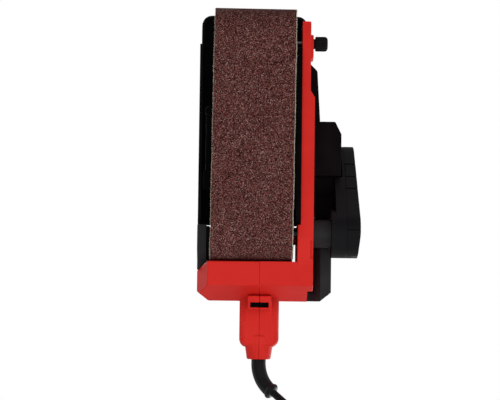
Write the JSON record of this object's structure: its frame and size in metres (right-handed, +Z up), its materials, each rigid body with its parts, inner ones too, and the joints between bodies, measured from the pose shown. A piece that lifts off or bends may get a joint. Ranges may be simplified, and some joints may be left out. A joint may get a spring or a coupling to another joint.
{
  "type": "belt sander",
  "caption": "Hand-held electric belt sander with a flat abrasive belt over two rollers, closed rear handle, side drive cover, dust port, tracking knob and a coiled mains cord.",
  "frame": {"origin": "middle of the flat underside of the sanding belt, on the plane that the tool stands on", "axes": "+X forward to the nose, +Y to the tool's left where the drive cover is, +Z up to the handle"},
  "size_m": [0.549, 0.1582, 0.152],
  "materials": {
    "abrasive_cloth": "rough aluminium oxide grit",
    "steel": "ground",
    "cork": "raw",
    "black_casting": "satin black paint on die-cast aluminium",
    "aluminium": "cast and machined",
    "black_rubber": "matt",
    "red_plastic": "semi gloss",
    "black_plastic": "fine grained",
    "copper": "enamelled wire",
    "carbon": "matt carbon",
    "brass": "drawn",
    "lamination": "stacked sheet"
  },
  "bodies": {
    "housing": {"sanding_belt": "abrasive_cloth", "platen_shoe": "steel", "platen_screws": "steel", "tension_spring": "steel", "lever_pivot_pin": "steel", "shaft_bearings": "steel", "drive_cover_screws": "steel", "housing_screws": "steel", "platen_pad": "cork", "main_frame": "black_casting", "rear_guard": "black_casting", "drive_backplate": "black_casting", "bearing_tube": "black_casting", "bearing_bracket": "aluminium", "front_grip_pad": "black_rubber", "rear_grip_pad": "black_rubber", "cord_boot": "black_rubber", "power_cord": "black_rubber", "cord_coil": "black_rubber", "coil_tie": "black_rubber", "plug": "black_rubber", "timing_belt": "black_rubber", "left_housing": "red_plastic", "right_housing": "red_plastic", "top_cover": "black_plastic", "motor_housing": "black_plastic", "motor_end_cap": "black_plastic", "fan_scroll": "black_plastic", "dust_outlet": "black_plastic", "drive_cover": "black_plastic", "front_grip": "black_plastic", "speed_controller": "black_plastic", "switch_body": "black_plastic", "cord_clamp": "black_plastic", "brush_caps": "black_plastic", "stator_coils": "copper", "carbon_brushes": "carbon", "brush_holders": "brass", "stator_stack": "lamination"},
    "armature": {"armature_shaft": "steel", "armature_stack": "lamination", "armature_windings": "copper", "commutator": "copper", "cooling_fan": "black_plastic", "dust_fan": "black_plastic", "motor_pulley": "aluminium"},
    "drive_roller": {"drive_roller_core": "aluminium", "drive_roller_tyre": "black_rubber", "drive_shaft": "steel", "driven_pulley": "black_plastic"},
    "idler_carrier": {"idler_yoke": "aluminium", "idler_axle": "steel"},
    "idler": {"idler_roller": "aluminium", "idler_bearings": "steel"},
    "tension_lever": {"tension_lever": "steel"},
    "tracking_knob": {"tracking_knob": "black_plastic", "tracking_screw": "steel"},
    "trigger": {"trigger": "black_plastic"},
    "lock_button": {"lock_button": "black_plastic"},
    "speed_dial": {"speed_dial": "black_plastic"}
  },
  "joints": [
    {"name": "armature_spin", "type": "hinge", "parent": "housing", "child": "armature", "pos_m": [-0.032, 0, 0.1], "axis": [0, 1, 0], "continuous": true},
    {"name": "drive_roller_spin", "type": "hinge", "parent": "housing", "child": "drive_roller", "pos_m": [-0.09335, 0, 0.026], "axis": [0, 1, 0], "continuous": true},
    {"name": "idler_slide", "type": "slide", "parent": "housing", "child": "idler_carrier", "axis": [1, 0, 0], "range_m": [-0.008, 0], "stiffness_N_per_m": 3000, "springref_m": 0.006, "deforming": ["tension_spring"]},
    {"name": "idler_roller_spin", "type": "hinge", "parent": "idler_carrier", "child": "idler", "pos_m": [0.09335, 0, 0.026], "axis": [0, 1, 0], "continuous": true},
    {"name": "tension_lever_swing", "type": "hinge", "parent": "housing", "child": "tension_lever", "pos_m": [0.02, -0.0412, 0.022], "axis": [0, 0, 1], "range_deg": [0, 90]},
    {"name": "tracking_turn", "type": "hinge", "parent": "housing", "child": "tracking_knob", "pos_m": [0.0865, 0.06, 0.026], "axis": [0, 1, 0], "range_deg": [-540, 540]},
    {"name": "trigger_squeeze", "type": "slide", "parent": "housing", "child": "trigger", "axis": [0, 0, 1], "range_m": [0, 0.006], "stiffness_N_per_m": 800},
    {"name": "lock_press", "type": "slide", "parent": "housing", "child": "lock_button", "axis": [0, -1, 0], "range_m": [0, 0.004], "stiffness_N_per_m": 500},
    {"name": "speed_turn", "type": "hinge", "parent": "housing", "child": "speed_dial", "pos_m": [-0.088, 0.0075, 0.1405], "axis": [0, 1, 0], "range_deg": [-135, 135]}
  ],
  "couplings": [
    {"joint": "drive_roller_spin", "follows": "armature_spin", "ratio": 0.5},
    {"joint": "idler_roller_spin", "follows": "armature_spin", "ratio": 0.5},
    {"joint": "tension_lever_swing", "follows": "idler_slide", "rad_per_m": -196.35}
  ]
}
